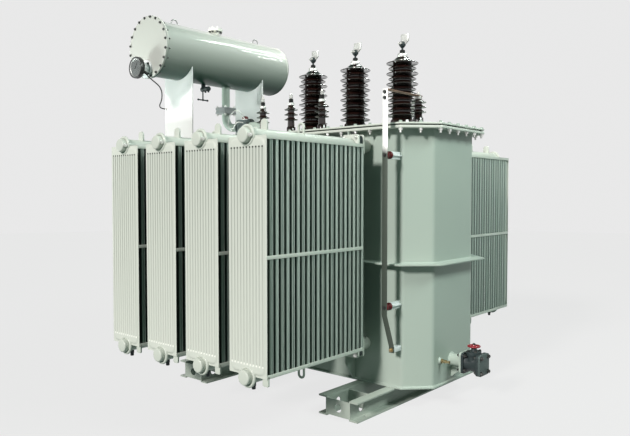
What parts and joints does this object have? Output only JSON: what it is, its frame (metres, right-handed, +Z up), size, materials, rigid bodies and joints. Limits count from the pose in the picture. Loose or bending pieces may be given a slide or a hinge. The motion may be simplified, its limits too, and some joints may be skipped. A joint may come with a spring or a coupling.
{
  "type": "oil-filled power transformer",
  "caption": "Oil-filled power transformer: eight-sided welded tank with panel radiators on both sides, shedded bushings on a bolted cover, conservator drum, drain valve and channel skids.",
  "frame": {"origin": "on the ground, under the middle of the tank, at the centre of the four foundation bolt holes in the skids", "axes": "+X along the tank's long side, towards the end with the drain valve; +Y across the tank, towards the high-voltage bushings; +Z up"},
  "size_m": [3.0589, 3.23, 3.0175],
  "materials": {
    "tank_paint": "semi-gloss grey-green enamel",
    "skid_paint": "semi-gloss grey-green enamel",
    "gasket_rubber": "matt black oil-proof rubber",
    "radiator_paint": "semi-gloss pale grey-green enamel",
    "valve_iron": "dark grey paint on cast iron",
    "brown_porcelain": "glossy dark brown glaze",
    "clamp_metal": "cast aluminium",
    "terminal_metal": "tinned brass",
    "bar_copper": "tarnished copper",
    "strip_steel": "bright zinc-coated steel",
    "red_resin": "red moulded resin",
    "conservator_paint": "semi-gloss grey-green enamel",
    "support_paint": "pale grey enamel",
    "gauge_case": "black enamel case with a pale dial behind glass",
    "cable_jacket": "black cable jacket",
    "wheel_red": "red enamel",
    "cock_brass": "turned brass"
  },
  "bodies": {
    "transformer": {"conservator_cover": "conservator_paint", "conservator_drain_cock": "valve_iron", "conservator_far_end": "conservator_paint", "conservator_shell": "conservator_paint", "conservator_support_far": "support_paint", "conservator_support_near": "support_paint", "cover_gasket": "gasket_rubber", "drain_blank_cover": "valve_iron", "drain_stub": "tank_paint", "drain_valve_body": "valve_iron", "earthing_strip": "strip_steel", "filler_cap": "conservator_paint", "gas_relay": "valve_iron", "gauge_cable": "cable_jacket", "hv_flanges": "clamp_metal", "hv_porcelain": "brown_porcelain", "hv_terminals": "terminal_metal", "lifting_eyes": "conservator_paint", "lv_flanges": "clamp_metal", "lv_porcelain": "brown_porcelain", "lv_terminals": "terminal_metal", "neutral_bar": "bar_copper", "neutral_porcelain": "brown_porcelain", "neutral_terminal": "terminal_metal", "oil_level_gauge": "gauge_case", "oil_pipe": "conservator_paint", "radiator_far_1": "radiator_paint", "radiator_far_2": "radiator_paint", "radiator_far_3": "radiator_paint", "radiator_far_4": "radiator_paint", "radiator_near_1": "radiator_paint", "radiator_near_2": "radiator_paint", "radiator_near_3": "radiator_paint", "radiator_near_4": "radiator_paint", "radiator_stubs_far": "radiator_paint", "radiator_stubs_near": "radiator_paint", "radiator_valves_far": "valve_iron", "radiator_valves_near": "valve_iron", "relief_valve": "conservator_paint", "sampling_cock": "cock_brass", "skid_conservator_end": "skid_paint", "skid_drain_end": "skid_paint", "stiffener_band": "tank_paint", "strip_brackets": "tank_paint", "strip_insulators": "red_resin", "tank_bottom_plate": "tank_paint", "tank_cover": "tank_paint", "tank_rim": "tank_paint", "tank_wall": "tank_paint", "wall_ribs": "tank_paint"},
    "handwheel": {"drain_handwheel": "wheel_red"}
  },
  "joints": [
    {"name": "handwheel_turn", "type": "hinge", "parent": "transformer", "child": "handwheel", "pos_m": [1.238, -0.02, 0.403], "axis": [0, 0, 1], "range_deg": [0, 3780]}
  ]
}
